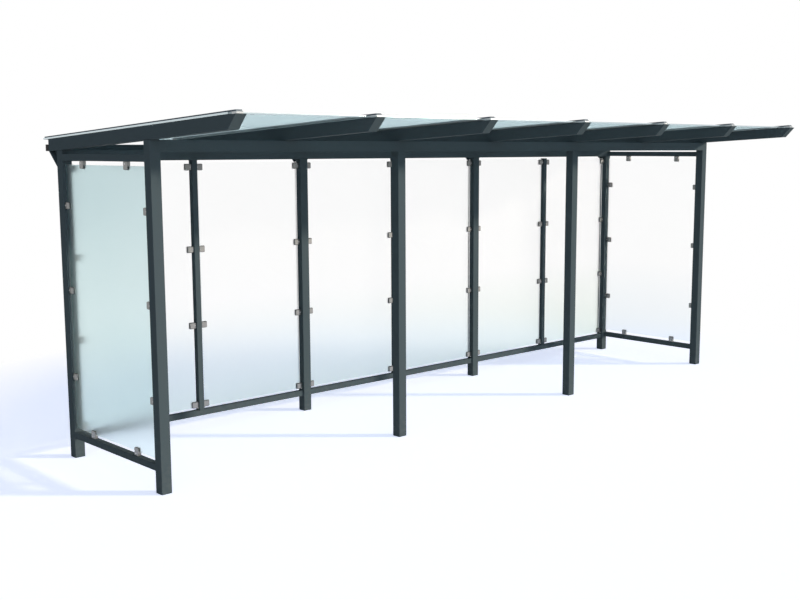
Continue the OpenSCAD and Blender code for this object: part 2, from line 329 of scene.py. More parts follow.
@dataclass
class SharedEffects:
    """Node groups that more than one finish uses, each built once."""

    cloud_scale: float = 2.3
    cloud_octaves: float = 4.0
    cloud_range: Range = (0.35, 0.7)
    tint_share: float = 0.35
    grain_octaves: float = 2.0
    streak_octaves: float = 3.0
    streak_shadow: Colour = (0.02, 0.02, 0.02)
    speckle_scale: float = 28.0
    speckle_octaves: float = 6.0
    speckle_range: Range = (0.42, 0.72)
    coat: bpy.types.NodeTree = field(init=False)
    streaks: bpy.types.NodeTree = field(init=False)
    splash: bpy.types.NodeTree = field(init=False)

    def __post_init__(self) -> None:
        """Builds the groups."""
        self.coat = self._coat()
        self.streaks = self._streaks()
        self.splash = self._splash()

    def _coat(self) -> bpy.types.NodeTree:
        """Builds the mottled skin of a sprayed or moulded surface.

        Returns:
            The group.
        """
        tree, g, given, out = new_group(
            "coat_skin",
            {"Vector": Socket.VECTOR, "Colour": Socket.COLOUR, "Tint": Socket.COLOUR,
             "Grain": Socket.NUMBER, "Rough Low": Socket.NUMBER, "Rough High": Socket.NUMBER},
            {"Colour": Socket.COLOUR, "Roughness": Socket.NUMBER, "Height": Socket.NUMBER})
        clouds = g.noise(given["Vector"], self.cloud_scale, self.cloud_octaves)
        grain = g.noise(given["Vector"], given["Grain"], self.grain_octaves)
        share = g.math("MULTIPLY", g.span(clouds, *self.cloud_range), self.tint_share)
        rough = g.span(clouds, *NOISE_MIDDLE, given["Rough Low"], given["Rough High"])
        g.link(g.blend(share, given["Colour"], given["Tint"]), out["Colour"])
        g.link(rough, out["Roughness"])
        g.link(grain, out["Height"])
        return tree

    def _streaks(self) -> bpy.types.NodeTree:
        """Builds the fine parallel lines of brushed or drawn metal.

        Returns:
            The group.
        """
        tree, g, given, out = new_group(
            "drawn_streaks",
            {"Vector": Socket.VECTOR, "Colour": Socket.COLOUR, "Shade": Socket.NUMBER,
             "Rough Low": Socket.NUMBER, "Rough High": Socket.NUMBER},
            {"Colour": Socket.COLOUR, "Roughness": Socket.NUMBER, "Height": Socket.NUMBER})
        lines = g.noise(given["Vector"], 1.0, self.streak_octaves)
        dark = g.math("MULTIPLY", lines, given["Shade"])
        rough = g.span(lines, *NOISE_MIDDLE, given["Rough Low"], given["Rough High"])
        g.link(g.blend(dark, given["Colour"], rgba(self.streak_shadow)), out["Colour"])
        g.link(rough, out["Roughness"])
        g.link(lines, out["Height"])
        return tree

    def _splash(self) -> bpy.types.NodeTree:
        """Builds the splash dust that fades out above the ground.

        Returns:
            The group.
        """
        tree, g, given, out = new_group(
            "ground_splash",
            {"Vector": Socket.VECTOR, "Colour": Socket.COLOUR, "Dust": Socket.COLOUR,
             "Reach": Socket.NUMBER, "Amount": Socket.NUMBER},
            {"Colour": Socket.COLOUR})
        low = g.span(g.part(given["Vector"], Axis.Z), 0.0, given["Reach"], 1.0, 0.0)
        speckle = g.noise(given["Vector"], self.speckle_scale, self.speckle_octaves)
        spots = g.math("MULTIPLY", low, g.span(speckle, *self.speckle_range))
        mask = g.math("MULTIPLY", spots, given["Amount"])
        g.link(g.blend(mask, given["Colour"], given["Dust"]), out["Colour"])
        return tree


def rgba(colour: Colour) -> tuple[float, float, float, float]:
    """Adds a full alpha to a colour."""
    return (*colour, 1.0)


def start_material(name: str) -> tuple[bpy.types.Material, Graph, bpy.types.Node, bpy.types.Node]:
    """Makes a node material with one Principled shader.

    Args:
        name: The material's name.

    Returns:
        The material, its graph, the shader and the Texture Coordinate node.
    """
    material = bpy.data.materials.new(name)
    material.use_nodes = True
    graph = Graph(material.node_tree)
    shader = next(n for n in material.node_tree.nodes if n.type == "BSDF_PRINCIPLED")
    return material, graph, shader, graph.add("ShaderNodeTexCoord")


def use_group(graph: Graph, tree: bpy.types.NodeTree, **values: object) -> bpy.types.Node:
    """Places a node group and fills its inputs.

    Args:
        graph: Where to place it.
        tree: The group.
        values: Inputs by name, with _ for a space.

    Returns:
        The group node.
    """
    node = graph.add("ShaderNodeGroup", node_tree=tree)
    for key, value in values.items():
        graph.feed(value, node.inputs[key.replace("_", " ")])
    return node


def add_bump(graph: Graph, shader: bpy.types.Node, height: bpy.types.NodeSocket,
             strength: float, distance: float) -> None:
    """Feeds a height through a Bump node to the shader's normal.

    Args:
        graph: The material's graph.
        shader: The shader that takes the normal.
        height: The socket with the height.
        strength: How much of the bump shows, from 0 to 1.
        distance: Depth of the relief in metres.
    """
    bump = graph.add("ShaderNodeBump")
    bump.inputs["Strength"].default_value = strength
    bump.inputs["Distance"].default_value = distance
    graph.link(height, bump.inputs["Height"])
    graph.link(bump.outputs[0], shader.inputs["Normal"])


@dataclass(frozen=True)
class PowderCoat:
    """Satin powder coat on steel tube or on the cover bars."""

    name: str
    colour: Colour
    tint: Colour
    rough: Range = (0.45, 0.58)
    specular: float = 0.004
    grain: float = 420.0
    relief: float = 0.12
    relief_depth: float = 0.4 * MM
    dust: float = 0.12
    dust_colour: Colour = (0.30, 0.30, 0.29)
    dust_reach: float = 0.42

    def build(self, shared: SharedEffects) -> bpy.types.Material:
        """Builds the material from the coat and splash groups.

        Args:
            shared: The node groups.

        Returns:
            The material.
        """
        material, g, shader, where = start_material(self.name)
        at = where.outputs["Object"]
        coat = use_group(g, shared.coat, Vector=at, Colour=rgba(self.colour), Tint=rgba(self.tint),
                         Grain=self.grain, Rough_Low=self.rough[0], Rough_High=self.rough[1])
        splash = use_group(g, shared.splash, Vector=at, Colour=coat.outputs["Colour"],
                           Dust=rgba(self.dust_colour), Reach=self.dust_reach, Amount=self.dust)
        g.link(splash.outputs["Colour"], shader.inputs["Base Color"])
        g.link(coat.outputs["Roughness"], shader.inputs["Roughness"])
        shader.inputs["Specular IOR Level"].default_value = self.specular
        add_bump(g, shader, coat.outputs["Height"], self.relief, self.relief_depth)
        return material


@dataclass(frozen=True)
class GlassFinish:
    """Glass pane with pale polished edges.

    Its faces turn from one colour to another where they are seen at a slant, and a painted
    foot shading multiplies that colour more and more towards the foot: painted shade where it
    is under white, painted light where it is over white.
    """

    name: str
    face: Colour
    slanted: Colour
    edge: Colour
    face_axis: Axis
    rough: float
    refraction: float
    clear: float = 1.0
    milk_depth: float = 0.02
    painted_foot_shading: Colour = (1.0, 1.0, 1.0)
    painted_foot_shading_reach: Range = (0.15, 1.1)
    slant: Range = (0.40, 0.54)
    edge_turn: float = 0.7
    edge_rough: float = 0.2
    rough_spread: float = 0.01
    cloud_scale: float = 1.6
    cloud_octaves: float = 3.0
    cloud_colour: Colour = (0.5, 0.55, 0.55)
    cloud_share: float = 0.02

    def build(self, shared: SharedEffects) -> bpy.types.Material:
        """Builds the material; edges are told from faces by the object normal.

        Args:
            shared: The node groups, none of which glass needs.

        Returns:
            The material.
        """
        material, g, shader, where = start_material(self.name)
        straight = g.math("ABSOLUTE", g.part(where.outputs["Normal"], self.face_axis))
        edge = g.math("LESS_THAN", straight, self.edge_turn)
        clouds = g.noise(where.outputs["Object"], self.cloud_scale, self.cloud_octaves)
        rough = g.span(clouds, *NOISE_MIDDLE, self.rough * (1 - self.rough_spread),
                       self.rough * (1 + self.rough_spread))
        cloudy = g.blend(g.span(clouds, *NOISE_MIDDLE, 0.0, self.cloud_share),
                         self._tinted(g, where), rgba(self.cloud_colour))
        g.link(g.blend(edge, cloudy, rgba(self.edge)), shader.inputs["Base Color"])
        g.link(g.choose(edge, rough, self.edge_rough), shader.inputs["Roughness"])
        shader.inputs["Transmission Weight"].default_value = self.clear
        shader.inputs["IOR"].default_value = self.refraction
        if self.clear < 1:
            shader.inputs["Subsurface Weight"].default_value = 1.0
            shader.inputs["Subsurface Radius"].default_value = (1.0, 1.0, 1.0)
            shader.inputs["Subsurface Scale"].default_value = self.milk_depth
        return material

    def _tinted(self, g: Graph, where: bpy.types.Node) -> bpy.types.NodeSocket:
        """Adds the colour of the faces, with the painted foot shade or light multiplied in.

        Args:
            g: The material's graph.
            where: Its Texture Coordinate node.

        Returns:
            The colour, kept at or under white.
        """
        angle = g.add("ShaderNodeLayerWeight")
        angle.inputs["Blend"].default_value = 0.5
        slanted = g.span(angle.outputs["Facing"], *self.slant)
        shade = g.blend(slanted, rgba(self.face), rgba(self.slanted))
        # Painted shading: towards the foot the colour is multiplied, darker as painted shade or lighter as
        # painted light.
        near_foot = g.span(g.part(where.outputs["Object"], Axis.Z), *self.painted_foot_shading_reach, 1.0, 0.0)
        shade = g.blend(near_foot, shade, rgba(self.painted_foot_shading), "MULTIPLY")
        shade.node.clamp_result = True
        return shade


@dataclass(frozen=True)
class MetalFinish:
    """Bare metal with fine drawn or brushed lines."""

    name: str
    colour: Colour
    stretch: Triple
    shade: float
    rough: Range
    relief: float = 0.08
    relief_depth: float = 0.2 * MM

    def build(self, shared: SharedEffects) -> bpy.types.Material:
        """Builds the material from the streaks group.

        Args:
            shared: The node groups.

        Returns:
            The material.
        """
        material, g, shader, where = start_material(self.name)
        at = g.stretched(where.outputs["Object"], self.stretch)
        lines = use_group(g, shared.streaks, Vector=at, Colour=rgba(self.colour), Shade=self.shade,
                          Rough_Low=self.rough[0], Rough_High=self.rough[1])
        g.link(lines.outputs["Colour"], shader.inputs["Base Color"])
        g.link(lines.outputs["Roughness"], shader.inputs["Roughness"])
        shader.inputs["Metallic"].default_value = 1.0
        add_bump(g, shader, lines.outputs["Height"], self.relief, self.relief_depth)
        return material


@dataclass(frozen=True)
class RubberFinish:
    """Rubber or moulded plastic."""

    name: str
    colour: Colour
    tint: Colour
    rough: Range = (0.55, 0.75)
    specular: float = 0.2
    grain: float = 700.0
    relief: float = 0.2
    relief_depth: float = 0.3 * MM

    def build(self, shared: SharedEffects) -> bpy.types.Material:
        """Builds the material from the coat group.

        Args:
            shared: The node groups.

        Returns:
            The material.
        """
        material, g, shader, where = start_material(self.name)
        coat = use_group(g, shared.coat, Vector=where.outputs["Object"], Colour=rgba(self.colour),
                         Tint=rgba(self.tint), Grain=self.grain, Rough_Low=self.rough[0],
                         Rough_High=self.rough[1])
        g.link(coat.outputs["Colour"], shader.inputs["Base Color"])
        g.link(coat.outputs["Roughness"], shader.inputs["Roughness"])
        shader.inputs["Specular IOR Level"].default_value = self.specular
        add_bump(g, shader, coat.outputs["Height"], self.relief, self.relief_depth)
        return material


class Wardrobe:
    """All finishes of the shelter, built once and looked up by name."""

    def __init__(self) -> None:
        """Builds every material."""
        shared = SharedEffects()
        white, pale_edge, roof_tint = (1.0, 1.0, 1.0), (0.80, 0.89, 0.89), (0.74, 0.94, 1.0)
        wall = dict(face=white, slanted=white, edge=pale_edge, rough=0.36, refraction=1.25)
        finishes = {
            Finish.STEEL: PowderCoat("anthracite_powder_coat", (0.080, 0.108, 0.120),
                                     (0.086, 0.114, 0.126)),
            # Back, right and left panes are one glass; the back and right finishes differ only by their own
            # painted shade towards the foot.
            Finish.BACK_PANE: GlassFinish("satin_glass_back", face_axis=Axis.Y,
                                          painted_foot_shading=(0.82, 0.905, 0.83), **wall),
            Finish.RIGHT_PANE: GlassFinish("satin_glass_right", face_axis=Axis.X,
                                           painted_foot_shading=(0.84, 0.90, 0.94), **wall),
            # A shaded copy of the wall glass: its teal face and slanted colours are painted shade, and its
            # foot multiplier over white is painted light that brightens it towards the foot, standing in
            # for sun below the roof's shadow.
            Finish.LEFT_PANE: GlassFinish("satin_glass_left_painted_shade", (0.74, 0.86, 0.88), (0.555, 0.75, 0.77),
                                          pale_edge, Axis.X, rough=0.285, refraction=1.2, clear=0.97,
                                          painted_foot_shading=(1.38, 1.29, 1.24), painted_foot_shading_reach=(0.3, 2.0)),
            Finish.ROOF_PANE: GlassFinish("roof_glass", roof_tint, roof_tint, roof_tint, Axis.Z,
                                          rough=0.05, refraction=1.002, clear=0.75),
            Finish.PANE_EDGE: MetalFinish("pale_edge_trim", (0.57, 0.66, 0.69), (40.0, 40.0, 40.0),
                                          0.08, (0.08, 0.12), relief=0.02),
            Finish.GASKET: RubberFinish("dark_glazing_strip", (0.12, 0.14, 0.15), (0.16, 0.18, 0.19)),
            Finish.RUBBER: RubberFinish("black_rubber", (0.016, 0.017, 0.018), (0.03, 0.03, 0.03)),
            Finish.PLUG: RubberFinish("black_plastic_plug", (0.012, 0.012, 0.013), (0.02, 0.02, 0.02)),
            Finish.BAR: PowderCoat("grey_bar", (0.155, 0.195, 0.225), (0.17, 0.21, 0.24)),
            Finish.CAP: MetalFinish("cast_end_cap", (0.43, 0.455, 0.465), (60.0, 60.0, 60.0), 0.10,
                                    (0.15, 0.20), relief=0.03),
            Finish.CLAMP: MetalFinish("brushed_clamp", (0.27, 0.275, 0.27), (500.0, 500.0, 14.0), 0.18,
                                      (0.32, 0.46)),
            Finish.SCREW: MetalFinish("bright_screw", (0.55, 0.55, 0.55), (300.0, 300.0, 300.0), 0.15,
                                      (0.22, 0.34)),
        }
        self.materials = {key: finish.build(shared) for key, finish in finishes.items()}

    def __getitem__(self, key: Finish) -> bpy.types.Material:
        """The material of that finish."""
        return self.materials[key]


# ---------------------------------------------------------------- mesh tools


def cad(node: str) -> Box:
    """The box of a CAD node as two vectors."""
    lo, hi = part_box(node)
    return Vector(lo), Vector(hi)


def family(name: str) -> list[str]:
    """The CAD nodes whose names are this one and a last part, in order."""
    return sorted(node for node in frame["nodes"] if node.rpartition("_")[0] == name)


def islands(node: str) -> list[Box]:
    """Finds the separate solids of a CAD node.

    Args:
        node: The node's name.

    Returns:
        Lowest and highest corner of each solid, in the row frame.
    """
    bm = bmesh.new()
    bm.from_mesh(frame["nodes"][node].data)
    bmesh.ops.remove_doubles(bm, verts=bm.verts, dist=SAME_POINT)
    found: list[Box] = []
    seen: set[bmesh.types.BMVert] = set()
    for start in bm.verts:
        if start in seen:
            continue
        seen.add(start)
        stack, group = [start], [start]
        while stack:
            for edge in stack.pop().link_edges:
                for vert in edge.verts:
                    if vert not in seen:
                        seen.add(vert)
                        stack.append(vert)
                        group.append(vert)
        lo = Vector([min(v.co[i] for v in group) for i in range(3)])
        hi = Vector([max(v.co[i] for v in group) for i in range(3)])
        found.append((lo, hi))
    bm.free()
    return found


def middle(box: Box) -> Vector:
    """The centre of a box."""
    return (box[0] + box[1]) / 2


def thin_axis(box: Box) -> Axis:
    """The axis along which a box is thinnest."""
    size = box[1] - box[0]
    return Axis(min(range(3), key=lambda i: size[i]))


def overlap(a: Box, b: Box) -> Box | None:
    """Finds the box that two boxes share.

    Args:
        a: One box.
        b: The other box.

    Returns:
        The shared box, or None where they don't meet.
    """
    lo = Vector([max(a[0][i], b[0][i]) for i in range(3)])
    hi = Vector([min(a[1][i], b[1][i]) for i in range(3)])
    return (lo, hi) if all(hi[i] > lo[i] for i in range(3)) else None


def grown(box: Box, by: Vector) -> Box:
    """A box made larger on both sides along each axis."""
    return box[0] - by, box[1] + by


def facing(direction: Vector, at: Vector) -> Matrix:
    """A place whose Z axis points along a direction."""
    return Matrix.Translation(at) @ direction.to_track_quat("Z", "Y").to_matrix().to_4x4()


def round_edges(bm: bmesh.types.BMesh, edges: Sequence[bmesh.types.BMEdge], radius: float,
                segments: int) -> None:
    """Rounds edges of a mesh.

    Args:
        bm: The mesh.
        edges: The edges to round.
        radius: Width of the bevel.
        segments: Segments across it.
    """
    bmesh.ops.bevel(bm, geom=edges, offset=radius, segments=segments, profile=0.5,
                    affect="EDGES", material=-1)


def rounded_tile(box: Box, radius: float, axis: Axis, rim: float = 0.0) -> tuple[bmesh.types.BMesh, Matrix]:
    """Makes a block that fills a box, with rounded edges along one axis.

    Args:
        box: The box to fill.
        radius: Radius of the edges that run along the axis.
        axis: The axis of those edges.
        rim: Radius of the two rims across the axis, or 0 for sharp ones.

    Returns:
        The block's mesh, centred on the origin, and its place.
    """
    size = box[1] - box[0]
    bm = bmesh.new()
    bmesh.ops.create_cube(bm, size=1.0)
    bmesh.ops.scale(bm, vec=size, verts=bm.verts)
    along = [e for e in bm.edges
             if abs((e.verts[1].co - e.verts[0].co).normalized().dot(axis.unit)) > PARALLEL]
    round_edges(bm, along, radius, segments=4)
    if rim > 0:
        half = size[axis.value] / 2
        around = [e for e in bm.edges
                  if all(abs(abs(v.co[axis.value]) - half) < HAIR for v in e.verts)]
        round_edges(bm, around, rim, segments=3)
    return bm, Matrix.Translation(middle(box))


@dataclass(frozen=True)
class SocketScrew:
    """Button-head socket screw whose head sits on the XY plane."""

    head: float
    height: float
    socket: float
    sides: int = 18
    crown: float = 0.72
    rounding: float = 0.3
    socket_depth: float = 0.6

    def build(self) -> bmesh.types.BMesh:
        """Builds one screw; crown, rounding and socket depth are shares of its head and height.

        Returns:
            The screw's mesh.
        """
        bm = bmesh.new()
        crown, soft = self.head * self.crown, self.height * self.rounding
        bmesh.ops.create_cone(bm, cap_ends=True, segments=self.sides, radius1=self.head, radius2=crown,
                              depth=self.height, matrix=Matrix.Translation((0, 0, self.height / 2)))
        rim = [e for e in bm.edges if all(v.co.z > self.height / 2 for v in e.verts)]
        round_edges(bm, rim, soft, segments=2)
        top = max(bm.faces, key=lambda f: f.calc_center_median().z)
        bmesh.ops.inset_individual(bm, faces=[top], thickness=crown - soft - self.socket)
        sixth = math.pi / 3
        for vert in top.verts:
            turn = round(math.atan2(vert.co.y, vert.co.x) / sixth) * sixth
            vert.co.x, vert.co.y = self.socket * math.cos(turn), self.socket * math.sin(turn)
        bmesh.ops.translate(bm, verts=list(top.verts), vec=(0, 0, -self.height * self.socket_depth))
        bmesh.ops.remove_doubles(bm, verts=bm.verts, dist=HAIR)
        return bm


class Piece:
    """A mesh under construction that becomes one object of the shelter."""

    def __init__(self, name: str, material: bpy.types.Material, slot: Slot) -> None:
        """Starts an empty mesh.

        Args:
            name: The object's name.
            material: Its finish.
            slot: The record's material slot it belongs to; kept on the piece but not used.
        """
        self.name = name
        self.material = material
        self.slot = slot
        self.bm = bmesh.new()

    def absorb(self, part: bmesh.types.BMesh, place: Matrix) -> None:
        """Adds a finished part at a place and frees it.

        Args:
            part: The part's own mesh.
            place: Where the part goes.
        """
        mesh = bpy.data.meshes.new("part")
        part.to_mesh(mesh)
        part.free()
        mesh.transform(place)
        self.bm.from_mesh(mesh)
        bpy.data.meshes.remove(mesh)

    def finish(self, smooth_below: float = 35.0) -> None:
        """Makes the object, dresses it and lets it ride on the body.

        Args:
            smooth_below: Edges flatter than this angle, in degrees, are shaded smooth.
        """
        bmesh.ops.recalc_face_normals(self.bm, faces=self.bm.faces)
        mesh = bpy.data.meshes.new(self.name)
        self.bm.to_mesh(mesh)
        self.bm.free()
        for polygon in mesh.polygons:
            polygon.use_smooth = True
        mesh.set_sharp_from_angle(angle=math.radians(smooth_below))
        mesh.materials.append(self.material)
        obj = bpy.data.objects.new(self.name, mesh)
        bpy.context.scene.collection.objects.link(obj)
        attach(obj, BODY)
        LOG.info("%s: %d faces", self.name, len(mesh.polygons))


# ---------------------------------------------------------------- the shelter


@dataclass
class CadDress:
    """Gives each carried-over CAD node its finish."""

    wardrobe: Wardrobe
    by_slot: dict[Slot, Finish] = field(default_factory=lambda: {
        Slot.FRAME: Finish.STEEL, Slot.ROOF_GLASS: Finish.ROOF_PANE, Slot.GASKET: Finish.GASKET,
        Slot.COVER_BAR: Finish.BAR, Slot.END_CAP: Finish.CAP, Slot.CLAMP: Finish.CLAMP,
        Slot.WALL_GLASS: Finish.BACK_PANE})
    # The left side pane wears the painted-shade copy of the wall glass; the right one wears the wall glass
    # with its own painted foot shade.
    by_node: dict[str, Finish] = field(default_factory=lambda: {
        "side_glass_left": Finish.LEFT_PANE, "side_glass_right": Finish.RIGHT_PANE})

    def dress(self) -> None:
        """Puts one procedural material on every node."""
        slots = {row["node"]: Slot(row["material_slot"]) for row in frame["record"]["subparts"]}
        for name, obj in frame["nodes"].items():
            finish = self.by_node.get(name, self.by_slot[slots[name]])
            obj.data.materials.clear()
            obj.data.materials.append(self.wardrobe[finish])
            LOG.info("%s: %s", name, finish.value)


@dataclass
class ClampTrim:
    """Screws and rubber pads on the glass clamps."""

    wardrobe: Wardrobe
    screw: SocketScrew = SocketScrew(6.0 * MM, 2.6 * MM, 2.4 * MM)
    lip: float = 1.2 * MM
    lip_thickness: float = 1.0 * MM
    corner: float = 8.0 * MM

    def build(self, node: str, pane_nodes: Sequence[str]) -> None:
        """Builds the trim of one clamp node.

        Args:
            node: The CAD node that holds the clamps.
            pane_nodes: The CAD nodes of the panes that they hold.
        """
        panes = [box for name in pane_nodes for box in islands(name)]
        screws = Piece(f"{node}_screws", self.wardrobe[Finish.SCREW], Slot.CLAMP)
        pads = Piece(f"{node}_pads", self.wardrobe[Finish.RUBBER], Slot.GASKET)
        for clamp in islands(node):
            pane = next(pane for pane in panes if overlap(pane, clamp))
            self._screws(screws, clamp, pane)
            self._pads(pads, clamp, pane)
        screws.finish()
        pads.finish()

    def _screws(self, piece: Piece, clamp: Box, pane: Box) -> None:
        """Adds one button head on each side of the glass, midway over the gap beside it.

        Args:
            piece: The mesh that takes the screws.
            clamp: The clamp's box.
            pane: The pane's box.
        """
        axis = thin_axis(pane)
        seat = middle(clamp)
        for i in range(3):
            if i != axis.value and not pane[0][i] < clamp[0][i] < clamp[1][i] < pane[1][i]:
                beyond = 0 if clamp[0][i] < pane[0][i] else 1
                seat[i] = (clamp[beyond][i] + pane[beyond][i]) / 2
        for end in End:
            at = seat.copy()
            at[axis.value] = clamp[end.value][axis.value]
            piece.absorb(self.screw.build(), facing(axis.unit * end.outward, at))

    def _pads(self, piece: Piece, clamp: Box, pane: Box) -> None:
        """Adds a thin pad on each face of the glass, a little larger than the clamp.

        Args:
            piece: The mesh that takes the pads.
            clamp: The clamp's box.
            pane: The pane's box.
        """
        axis = thin_axis(pane)
        wide = grown(clamp, axis.across(self.lip))
        reach = grown(pane, axis.unit * self.lip_thickness)
        for end in End:
            face = pane[end.value][axis.value]
            sheet = (wide[0].copy(), wide[1].copy())
            sheet[1 - end.value][axis.value] = face
            sheet[end.value][axis.value] = face + end.outward * self.lip_thickness
            piece.absorb(*rounded_tile(overlap(sheet, reach), self.corner, axis))


@dataclass(frozen=True)
class RoofSlope:
    """The rafters' upper line, as the frame that the roof's layers are placed in."""

    tip: Vector
    tilt: float

    @classmethod
    def measured(cls) -> "RoofSlope":
        """Measures the slope from the first rafter's tip and the two beams.

        Returns:
            The slope.
        """
        rafter, front, back = cad("rafter_1"), cad("front_beam"), cad("back_beam")
        return cls(Vector((0.0, rafter[0].y, rafter[1].z)),
                   math.atan2(front[1].z - back[1].z, back[0].y - front[0].y))

    def place(self, x: float = 0.0) -> Matrix:
        """A frame with Y along the slope from the rafter tips and Z square to it."""
        return Matrix.Translation(self.tip + Vector((x, 0.0, 0.0))) @ Matrix.Rotation(-self.tilt, 4, "X")

    def along(self, y: float, height: float) -> float:
        """Distance from the rafter tips, along the slope, of a point at y and a height over it."""
        return (y - self.tip.y - height * math.sin(self.tilt)) / math.cos(self.tilt)

    def height(self, node: str) -> float:
        """Height of a layer's upper face above the rafters' top, square to the slope."""
        box = cad(node)
        return (box[1].z - self.tip.z) * math.cos(self.tilt) + (box[0].y - self.tip.y) * math.sin(self.tilt)


@dataclass
class BarTrim:
    """Grey seals under the cover bars' edges and the screws along the bars."""

    wardrobe: Wardrobe
    slope: RoofSlope
    seal: float = 2.0 * MM
    seal_height: float = 1.6 * MM
    seal_rounding: float = 0.7
    screw: SocketScrew = SocketScrew(5.0 * MM, 2.2 * MM, 2.0 * MM)
    first_screw: float = 180.0 * MM
    screw_pitch: float = 380.0 * MM

    def build(self) -> None:
        """Builds the seals and the screws of every bar."""
        seals = Piece("cover_bar_seals", self.wardrobe[Finish.GASKET], Slot.GASKET)
        screws = Piece("cover_bar_screws", self.wardrobe[Finish.SCREW], Slot.COVER_BAR)
        for bar in islands("cover_bars"):
            self._one(seals, screws, bar)
        seals.finish()
        screws.finish()

    def _one(self, seals: Piece, screws: Piece, bar: Box) -> None:
        """Adds the trim of one bar.

        Args:
            seals: The mesh that takes the seals.
            screws: The mesh that takes the screws.
            bar: The bar's box.
        """
        place = self.slope.place(middle(bar).x)
        pane, low = cad("roof_glass_1"), self.slope.height("roof_glass_1")
        ahead, behind = self.slope.along(pane[0].y, low), self.slope.along(pane[1].y, low)
        half = (bar[1].x - bar[0].x) / 2 + self.seal
        strip = (Vector((-half, ahead, low)), Vector((half, behind, low + self.seal_height)))
        bm, at = rounded_tile(strip, self.seal_rounding * self.seal_height, Axis.Y)
        seals.absorb(bm, place @ at)
        top = self.slope.height("cover_bars")
        count = int((behind - self.first_screw) // self.screw_pitch) + 1
        for k in range(count):
            along = self.first_screw + k * (behind - 2 * self.first_screw) / (count - 1)
            screws.absorb(self.screw.build(), place @ Matrix.Translation((0.0, along, top)))


@dataclass
class PaneTrim:
    """Slim pale trims along the edges of the roof panes."""

    wardrobe: Wardrobe
    slope: RoofSlope
    thick: float = 1.6 * MM
    radius: float = 0.6 * MM

    def build(self) -> None:
        """Builds the trims of all the panes as one piece."""
        piece = Piece("roof_pane_edges", self.wardrobe[Finish.PANE_EDGE], Slot.ROOF_GLASS)
        for node in family("roof_glass"):
            self._one(piece, cad(node))
        piece.finish()

    def _one(self, piece: Piece, pane: Box) -> None:
        """Trims the four edges of one pane.

        Args:
            piece: The mesh that takes the trims.
            pane: The pane's box.
        """
        low, high = self.slope.height("roof_gaskets"), self.slope.height("roof_glass_1")
        front, back = self.slope.along(pane[0].y, low), self.slope.along(pane[1].y, high)
        left, right, thick = pane[0].x, pane[1].x, self.thick
        trims = [((left, front - thick, low), (right, front, high), Axis.X),
                 ((left, back, low), (right, back + thick, high), Axis.X),
                 ((left - thick, front - thick, low), (left, back + thick, high), Axis.Y),
                 ((right, front - thick, low), (right + thick, back + thick, high), Axis.Y)]
        for lo, hi, axis in trims:
            bm, at = rounded_tile((Vector(lo), Vector(hi)), self.radius, axis)
            piece.absorb(bm, self.slope.place() @ at)


@dataclass
class TailPlugs:
    """Black push-in plugs in the tail rail's open ends."""

    wardrobe: Wardrobe
    corner: float = 3.0 * MM
    rim: float = 1.2 * MM

    def build(self) -> None:
        """Builds both plugs, flush with the outer rafters."""
        piece = Piece("tail_rail_plugs", self.wardrobe[Finish.PLUG], Slot.FRAME)
        rail, rafters = cad("tail_rail"), family("rafter")
        left, right = cad(rafters[0])[0].x, cad(rafters[-1])[1].x
        for low, high in ((left, rail[0].x), (rail[1].x, right)):
            box = (Vector((low, rail[0].y, rail[0].z)), Vector((high, rail[1].y, rail[1].z)))
            piece.absorb(*rounded_tile(box, self.corner, Axis.X, self.rim))
        piece.finish()


@dataclass
class WeldBeads:
    """Painted fillet welds where the steel members meet."""

    wardrobe: Wardrobe
    bead: float = 3.0 * MM
    corner: float = 3.0 * MM
    rim: float = 1.5 * MM
    flush: float = 0.3 * MM
    touch: float = 1.0 * MM
    smooth_below: float = 50.0
    limits: Box = field(default_factory=lambda: tuple(Vector(v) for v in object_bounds()))

    def build(self) -> None:
        """Builds all the beads as one piece."""
        piece = Piece("weld_beads", self.wardrobe[Finish.STEEL], Slot.FRAME)
        for upper, lower in zip(family("side_top_rail"), family("side_bottom_rail")):
            self._ends(piece, upper, Axis.Y)
            self._ends(piece, lower, Axis.Y)
        for rail, mullion in zip(family("back_rail"), family("mullion")):
            self._ends(piece, rail, Axis.X)
            self._ends(piece, mullion, Axis.Z, tuple(End) if self._reaches_beam(mullion) else (End.LOW,))
        # The outer posts are mitred with the beams, so only the inner ones are beaded under them.
        for front, back in zip(family("front_post")[1:-1], family("back_post")[1:-1]):
            self._ends(piece, front, Axis.Z, (End.HIGH,))
            self._ends(piece, back, Axis.Z, (End.HIGH,))
        for rafter in family("rafter"):
            self._tail(piece, rafter)
        piece.finish(self.smooth_below)

    def _reaches_beam(self, mullion: str) -> bool:
        """Whether a mullion reaches the back beam; the last one stops short of it."""
        return cad("back_beam")[0].z - cad(mullion)[1].z < self.touch

    def _ends(self, piece: Piece, node: str, axis: Axis, ends: Sequence[End] = tuple(End)) -> None:
        """Rings a member with a bead at its ends.

        Args:
            piece: The mesh that takes the beads.
            node: The member's CAD node.
            axis: The axis it runs along.
            ends: The ends that are welded.
        """
        box = cad(node)
        for end in ends:
            joint = box[end.value][axis.value]
            ring = grown(box, axis.across(self.bead))
            ring[0][axis.value] = joint - self.bead
            ring[1][axis.value] = joint + self.bead
            self._bead(piece, ring, axis)

    def _tail(self, piece: Piece, rafter: str) -> None:
        """Beads above and below the tail rail where it meets a rafter's end.

        Args:
            piece: The mesh that takes the beads.
            rafter: The rafter's CAD node.
        """
        rail, box = cad("tail_rail"), cad(rafter)
        inset = 2 * self.corner
        lo = Vector((box[0].x + inset, rail[0].y - self.bead, rail[0].z - self.bead))
        hi = Vector((box[1].x - inset, rail[0].y + 2 * self.bead, rail[1].z + self.bead))
        self._bead(piece, (lo, hi), Axis.Y)

    def _bead(self, piece: Piece, box: Box, axis: Axis) -> None:
        """Adds one closed bead, kept inside the shelter's own box."""
        kept = overlap(box, grown(self.limits, Vector((-self.flush,) * 3)))
        piece.absorb(*rounded_tile(kept, self.corner, axis, self.rim))


